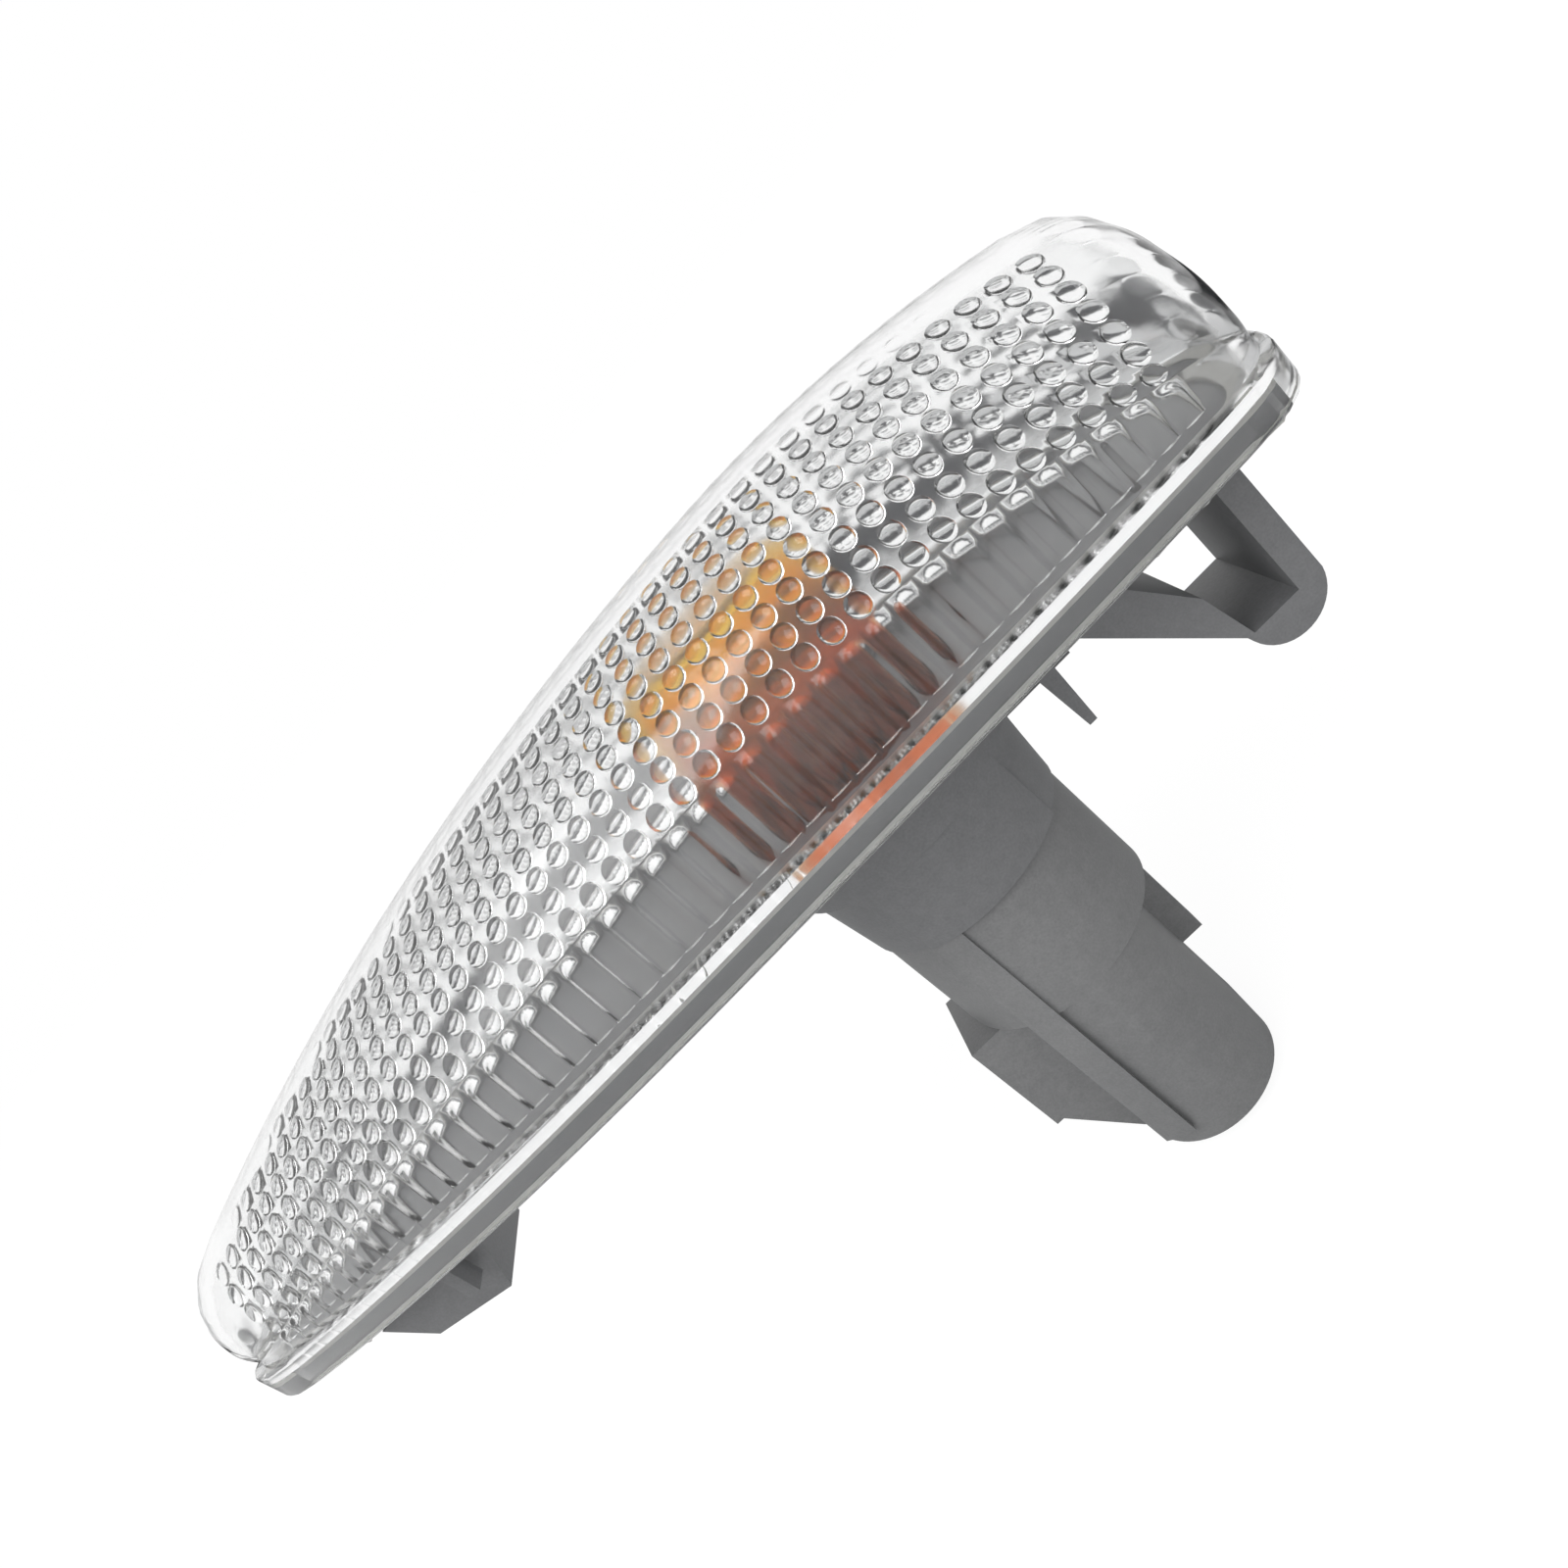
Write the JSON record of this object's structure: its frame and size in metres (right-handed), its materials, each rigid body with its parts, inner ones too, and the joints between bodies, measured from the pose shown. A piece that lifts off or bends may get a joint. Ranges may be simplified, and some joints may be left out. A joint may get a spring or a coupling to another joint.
{
  "type": "side repeater lamp",
  "caption": "Vehicle side repeater lamp: clear fluted lens over an amber bulb cap, on a grey housing with a snap-in hook and spring clip and a bayonet bulb holder with connector socket.",
  "frame": {"origin": "middle of the seat under the flange, where the lamp lies on the body panel", "axes": "+X along the lamp towards its blunt nose end, +Z out of the panel through the lens, +Y across the lamp"},
  "size_m": [0.1245, 0.041, 0.0712],
  "materials": {
    "clear_lens": "clear moulded plastic, smooth outside, dimpled and fluted inside",
    "sealant": "pale translucent sealant",
    "grey_housing": "mid-grey moulded plastic, fine satin grain",
    "amber": "translucent amber moulded plastic",
    "bulb_glass": "clear glass",
    "wire": "bare wire",
    "grey_holder": "mid-grey moulded plastic, satin",
    "seal_rubber": "black rubber",
    "contact_brass": "stamped brass strip"
  },
  "bodies": {
    "root": {"lens": "clear_lens", "lens_sealant": "sealant", "housing": "grey_housing", "amber_cap": "amber", "bulb_glass": "bulb_glass", "bulb_filament": "wire", "lead_wire_left": "wire", "lead_wire_right": "wire", "bulb_holder": "grey_holder", "holder_seal": "seal_rubber", "contact_left": "contact_brass", "contact_right": "contact_brass"}
  },
  "joints": []
}
